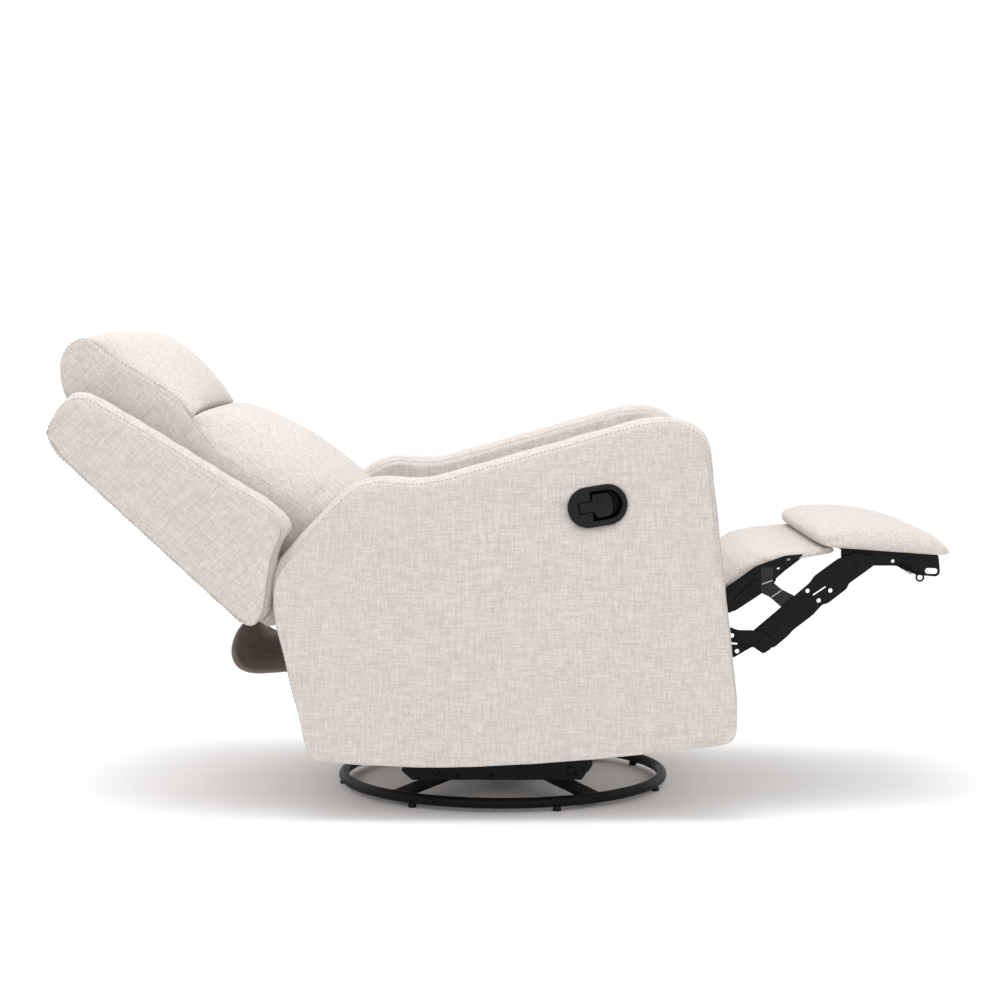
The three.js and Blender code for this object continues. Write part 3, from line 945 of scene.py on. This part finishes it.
def build_seat():
    pad = cushion("seat_pad", seat_outline, 0.283, seat_place)
    soft(pad, lambda co: co[:, 2] < SEAT_REAR.z + 0.012 + tan(SEAT_PITCH)
         * (co[:, 0] - SEAT_REAR.x), linen_seat, cap=0.010)
    put(pad, "seat", "linen", "seat_cushion")


# ---- footrest ----
PAD_SIDE = ((582, 461), (565, 462), (554, 468), (551, 476), (556, 485), (574, 490), (604, 492),
            (660, 490), (714, 481), (754, 471), (773, 462), (776, 454), (770, 448.5), (756, 448.5),
            (670, 455))
PAD_CROWN = ((582, 461), (561, 462), (542, 469), (537, 480), (544, 489), (570, 494),
             (606, 496.5), (664, 495), (718, 486), (758, 475), (778, 464), (781, 456),
             (773, 448.5), (756, 448.5), (670, 455))
FLAP_SIDE = ((576, 451), (533, 447), (488, 443), (454, 435), (424, 416), (389, 383), (381, 391),
             (418, 426), (450, 445), (490, 453), (533, 457), (576, 461))
FLAP_CROWN = ((576, 451), (533, 447), (488, 443), (454, 433), (424, 414), (390, 382), (378, 391),
              (415, 429), (448, 448), (490, 456), (533, 460), (576, 461.5))
PAD_HALF = 0.290
FLAP_HALF = 0.264


def build_footrest_pads():
    pad = cushion("footrest_cushion", section(PAD_SIDE, PAD_CROWN, 130, 2, 5.0, 0.5),
                  PAD_HALF - 0.004, plain_place)
    slope = (0.461 - 0.449) / (0.756 - 0.584)
    soft(pad, lambda co: co[:, 2] + slope * (co[:, 0] - 0.584) < 0.466, linen_body,
         cap=0.004, voxel=0.005)
    put(pad, "footrest", "linen", "footrest_pad")
    flap = cushion("flap_cushion", section(FLAP_SIDE, FLAP_CROWN, 130, 2, 5.0, 0.5),
                   FLAP_HALF - 0.002, plain_place)
    smooth_pad(flap, 1)
    put(flap, "flap", "linen", "footrest_flap")


LINKS = {
    "footrest_lower_link": dict(
        body="lower_links", at=(0.293, 0.297),
        shape=[(262, 310), (262, 326), (280, 329), (345, 322), (391, 325), (407, 319), (431, 319),
               (450, 315), (465, 304), (464, 288), (450, 279), (432, 292), (398, 272), (386, 284),
               (340, 284), (276, 292), (262, 298)],
        ends=[(275, 310), (448, 297)], holes=[(396, 310.5, 3.8), (405, 283, 3.8)],
        slots=[(392, 297, 404, 296, 1.6)]),
    "footrest_long_link": dict(
        body="long_links", at=(0.287, 0.291),
        shape=[(428, 300), (432, 317), (530, 401), (539, 414), (580, 444), (612, 453), (638, 447),
               (642, 432), (597, 399), (596, 392), (560, 364), (554, 365), (536, 345), (501, 318),
               (496, 311), (469, 288), (437, 291)],
        ends=[(448, 304), (620, 433)],
        holes=[(527, 387.4, 3.8), (566.4, 388, 3.8), (546.4, 370.6, 3.8)],
        slots=[(537.3, 380.7, 557.3, 394.1, 1.3)]),
    "footrest_upper_link": dict(
        body="upper_links", at=(0.281, 0.285),
        shape=[(312, 325), (318, 312), (340, 309), (388, 352), (401, 351), (448, 382), (468, 404),
               (521, 451), (488, 448), (438, 430), (384, 391), (322, 342)],
        ends=[(330, 325), (465, 408)], holes=[(494.5, 440, 3.5), (477, 424, 3.5)],
        slots=[(401, 373, 436.5, 406, 3.2)]),
    "footrest_strut": dict(
        body="struts", at=(0.2853, 0.2867),
        shape=[(447, 428), (468, 428), (467, 408), (470, 400), (482, 390), (506, 378), (514, 362),
               (504, 350), (490, 352), (462, 376), (446, 384), (446, 404)],
        ends=[], holes=[], slots=[], steel=painted_reflection_steel),
}
BRACKET = ((586, 460.2), (586, 443), (591, 434), (600, 430.3), (682, 430), (696, 422.5),
           (721, 413.5), (752, 411), (758, 416), (757, 432), (755, 448.4))


def stamping(name, shape, at, sign, holes=(), slots=(), count=150, steel=black_steel):
    """A plate of sheet steel with slightly rounded corners."""
    loop = relax(resample(np.array(shape) * MM, count), 1)
    cuts = [circle(x * MM, z * MM, r * MM) for x, z, r in holes]
    cuts += [slot_hole(*(v * MM for v in slot)) for slot in slots]
    return plate(name, loop, sign * at[0], sign * at[1], steel, cuts)


def build_linkage():
    for name, spec in LINKS.items():
        far = spec["at"][1]
        for side, sign in SIDES.items():
            link = stamping(f"{name}_stamping_{side}", spec["shape"], spec["at"], sign,
                            spec["holes"], spec["slots"], steel=spec.get("steel", black_steel))
            put(link, spec["body"], "black_steel", f"{name}_{side}")
            for i, (x, z) in enumerate(spec["ends"]):
                head = rivet(f"{name}_rivet_{side}_{i}", x * MM, sign * far, z * MM, sign, 0.0080,
                             black_steel, 0.0014)
                put(head, spec["body"], "black_steel")
    for side, sign in SIDES.items():
        build_long_link_press(side, sign)
        build_footrest_bracket(side, sign)
        build_strut_bend_highlights(side, sign)
        build_spring(side, sign * 0.2835)


def build_long_link_press(side, sign):
    """Beads and a dimple pressed into the long link's outer face."""
    face = sign * LINKS["footrest_long_link"]["at"][1]
    marks = {"bead": slot_hole(0.466, 0.312, 0.512, 0.350, 0.0042),
             "dimple": circle(0.536, 0.356, 0.0055),
             "stop": slot_hole(0.578, 0.418, 0.598, 0.432, 0.0035)}
    for mark, loop in marks.items():
        piece = plate(f"footrest_long_link_{mark}_{side}", loop, face - sign * 0.0006,
                      face + sign * 0.0011, black_steel, bevel=0.0007)
        put(piece, "long_links", "black_steel")


def build_strut_bend_highlights(side, sign):
    """Painted highlights on the strut: thin strips of bright zinc along its pressed bends, where
    its strap is set over, standing in for the light that the bends catch.
    """
    lines = ((0.449, 0.399, 0.466, 0.405), (0.466, 0.377, 0.482, 0.388))
    for i, (x0, z0, x1, z1) in enumerate(lines):
        bend_highlight = plate(f"footrest_strut_ridge_{side}_{i}", slot_hole(x0, z0, x1, z1, 0.0007),
                      sign * 0.2863, sign * 0.2869, zinc, bevel=0.0001)
        put(bend_highlight, "struts", "black_steel")


def build_footrest_bracket(side, sign):
    """The angle bracket under the footrest: its web, top flange, tab and pivot boss."""
    web = stamping(f"footrest_bracket_stamping_{side}", BRACKET, (0.275, 0.279), sign,
                   [(676, 438, 3.0)], [(737, 421, 749, 420.5, 5.0)], 130)
    put(web, "footrest", "black_steel", f"footrest_bracket_{side}")
    flange = [(0.586, 0.4578), (0.755, 0.4462), (0.755, 0.4484), (0.586, 0.4600)]
    top = plate(f"footrest_flange_{side}", flange, sign * 0.2480, sign * 0.2752, black_steel,
                bevel=0.0005)
    put(top, "footrest", "black_steel")
    tab = np.array([(700, 445), (736, 442), (736, 430), (722, 427), (702, 432)]) * MM
    stop = plate(f"footrest_bracket_tab_{side}", relax(resample(tab, 60), 2), sign * 0.2785,
                 sign * 0.2812, black_steel, bevel=0.0007)
    put(stop, "footrest", "black_steel")
    head = [(0.0, 0.0), (0.0, 0.0058), (0.0014, 0.0050), (0.0024, 0.0026), (0.0024, 0.0)]
    for k, x in enumerate((0.600, 0.668, 0.742)):
        z = 0.4578 - (x - 0.586) * 0.0686 - 0.0002
        screw = turned(f"footrest_screw_{side}_{k}", head, (x, sign * 0.262, z), (0, 0, -1),
                       zinc, 20)
        put(screw, "footrest", "zinc")
    boss = rivet(f"footrest_pivot_rivet_{side}", 0.620, sign * 0.291, 0.433, sign, 0.0115,
                 black_steel)
    put(boss, "long_links", "black_steel")


def build_spring(side, y):
    """The footrest's small coil spring and its ring, on the bracket's outer face."""
    start, end = np.array((0.688, 0.4315)), np.array((0.7075, 0.4185))
    along = (end - start) / np.linalg.norm(end - start)
    up = np.array((-along[1], along[0]))
    turns, per_turn, radius = 6, 14, 0.0046
    path = []
    for i in range(turns * per_turn + 1):
        share = i / (turns * per_turn)
        a = 2 * pi * i / per_turn
        spot = start + (end - start) * share + up * radius * sin(a)
        path.append((spot[0], y + radius * cos(a) * 0.6, spot[1]))
    put(tube(f"footrest_spring_{side}", path, 0.00085, black_steel, 6), "footrest", "black_steel")
    ring = [(0.7223 + 0.0062 * cos(a), y, 0.4102 + 0.0062 * sin(a))
            for a in angles(28)]
    put(tube(f"footrest_spring_ring_{side}", ring, 0.0017, black_steel, 8, closed=True),
        "footrest", "black_steel")
    tail = [(0.7075, y, 0.4185), (0.7115, y, 0.4175), (0.7172, y, 0.4142)]
    put(tube(f"footrest_spring_tail_{side}", tail, 0.0009, black_steel, 6), "footrest",
        "black_steel")


# ---- release cup ----
def cup_place(points):
    """From (along the cup, up, into the arm) to the shared frame."""
    c, s = cos(CUP_TILT), sin(CUP_TILT)
    u, v, w = points[..., 0], points[..., 1], points[..., 2]
    return np.stack([CUP.x + u * c - v * s, CUP.y + w, CUP.z + u * s + v * c], axis=-1)


def stadium_loop(length, height, count):
    """A slot's outline about its middle, with half-round ends."""
    r = height / 2
    reach = length / 2 - r
    quarter = pi / 2
    raw = [(reach + r * cos(a), r * sin(a)) for a in np.linspace(-quarter, quarter, 24)]
    raw += [(-x, -z) for x, z in raw]
    return resample(np.array(raw), count)


def build_release():
    def ring(length, height, depth):
        loop = stadium_loop(length, height, 72)
        return cup_place(np.column_stack([loop, np.full(len(loop), depth)]))

    steps = [(0.0905, 0.0585, 0.0290), (0.0905, 0.0585, 0.0010), (0.1003, 0.0684, -0.0004),
             (0.1013, 0.0694, -0.0018), (0.1007, 0.0688, -0.0032), (0.0988, 0.0669, -0.0041),
             (0.0960, 0.0640, -0.0044), (0.0872, 0.0540, -0.0040), (0.0848, 0.0512, -0.0032),
             (0.0836, 0.0500, -0.0010), (0.0828, 0.0492, 0.0040), (0.0818, 0.0482, 0.0220),
             (0.0780, 0.0445, 0.0258), (0.0700, 0.0380, 0.0268)]
    verts, faces = skin([ring(*s) for s in steps])
    put(make("release_cup_moulding", verts, faces, black_plastic), "chair", "black_plastic",
        "release_cup")

    edge = stadium_loop(0.0895, 0.0560, 96)
    edge = edge[edge[:, 0] < -0.0105]
    edge = edge[np.argsort(np.arctan2(edge[:, 1], -edge[:, 0] - 0.001))][::-1]
    slot = [(-0.0105, -0.0100), (-0.0330, -0.0100), (-0.0330, 0.0100), (-0.0105, 0.0100)]
    face = [tuple(p) for p in edge] + [(-0.0105, edge[-1][1])] + slot + [(-0.0105, edge[0][1])]
    put(plate("release_cup_face", face, 0.0015, -0.0038, black_plastic, bevel=0.0007,
              place=cup_place), "chair", "black_plastic")

    paddle = relax(resample(outline(
        (-31, -8.8), (-9, -8.8), (-7, -10), (-4.5, -18.5), (-3, -20.5, 0, -20.5), (18, -19),
        (25, -17, 26, 0), (25, 17, 18, 19.5), (-3, 20.5), (-6.5, 20, -7, 17.5), (-7.5, 10),
        (-9, 8.8), (-31, 8.8), steps=8), 170), 1)
    lever = plate("release_paddle_moulding", paddle, 0.0030, -0.0034,
                  black_plastic, bevel=0.0012, place=cup_place)
    put(lever, "paddle", "black_plastic", "release_paddle")
    for i in range(4):
        u = -0.0015 + 0.0034 * i
        grip = slot_hole(u, 0.004, u, 0.015, 0.0006)
        put(plate(f"release_grip_{i}", grip, -0.0030, -0.0040, black_plastic, bevel=0.0004,
                  place=cup_place), "paddle", "black_plastic")


# ---- base ----
def build_base():
    path = [(RING_R * cos(a), RING_R * sin(a), RING_Z) for a in angles(160)]
    put(tube("base_ring_tube", path, RING_TUBE_R, black_steel, 20, closed=True), "base",
        "black_steel", "base_ring")
    for i in range(1, 8):
        low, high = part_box(f"floor_glide_{i}")
        x, y = (low[0] + high[0]) / 2, (low[1] + high[1]) / 2
        profile = [(0.0, 0.0), (0.0, 0.0058), (0.0012, 0.0072), (0.005, 0.0075), (0.0068, 0.0066),
                   (0.0092, 0.0045), (0.0092, 0.0)]
        put(turned(f"floor_glide_foot_{i}", profile, (x, y, 0.0), (0, 0, 1), rubber, 24), "base",
            "rubber", f"floor_glide_{i}")


def build_bolts():
    """Dark rivet heads along each glider carrier's lower edge and over its pendulum pins."""
    places = ((-0.081, 0.0555), (-0.020, 0.0555), (0.129, 0.0605), (-0.118, 0.066), (0.118, 0.066))
    for side, sign in SIDES.items():
        for k, (x, z) in enumerate(places):
            radius = 0.0048 if k < 3 else 0.0085
            put(rivet(f"carrier_rivet_{side}_{k}", x, sign * 0.250, z, sign, radius, black_steel),
                "chair", "black_steel")


# ---- stage ----
def build_stage():
    mesh = bpy.data.meshes.new("floor")
    mesh.from_pydata([(-14, -9, 0), (14, -9, 0), (14, 16, 0), (-14, 16, 0)], [], [(0, 1, 2, 3)])
    floor = add_object("floor", mesh)
    n = Nodes("floor_white")
    mottle = n.noise(n.place, 3.0)
    tone = n.mix(mottle, (0.970, 0.970, 0.970, 1), (0.950, 0.950, 0.950, 1))
    mesh.materials.append(n.out(Base_Color=tone, Roughness=0.95, Specular_IOR_Level=0.1))

    world = bpy.data.worlds.new("studio")
    bpy.context.scene.world = world
    world.use_nodes = True
    background = world.node_tree.nodes["Background"]
    background.inputs[0].default_value = (1.0, 1.0, 1.0, 1)
    background.inputs[1].default_value = 1.04

    # each lamp's place, power in watts and width
    lamps = {
        "key": ((-0.4, -0.5, 3.3), 58, 2.4),
        "front": ((2.4, -2.6, 1.8), 9, 2.2),
        "rear": ((-2.4, 1.8, 2.8), 9, 2.4),
    }
    for name, (place, power, size) in lamps.items():
        light = bpy.data.lights.new(name, "AREA")
        light.energy = power
        light.color = (0.96, 0.985, 1.0)
        light.size = size
        lamp = add_object(name, light)
        lamp.location = place
        aim = Vector((0, 0, 0.4)) - Vector(place)
        lamp.rotation_euler = aim.to_track_quat("-Z", "Y").to_euler()


def build_camera():
    """The photo's viewpoint."""
    data = bpy.data.cameras.new("camera")
    data.sensor_width = 36.0
    data.lens = 83.3
    data.clip_end = 60.0
    camera = add_object("camera", data)
    camera.location = (-0.012, -4.2745, 0.8254)
    camera.rotation_euler = (pi / 2 - 0.0702, 0.0, -0.0016)
    bpy.context.scene.camera = camera
    bpy.context.scene.view_settings.view_transform = "Standard"


build_camera()
build_stage()
finish_frame_nodes()
build_base()
build_bolts()
build_arms()
build_back()
build_skirt()
build_closing_panels()
build_seat()
build_footrest_pads()
build_linkage()
build_release()
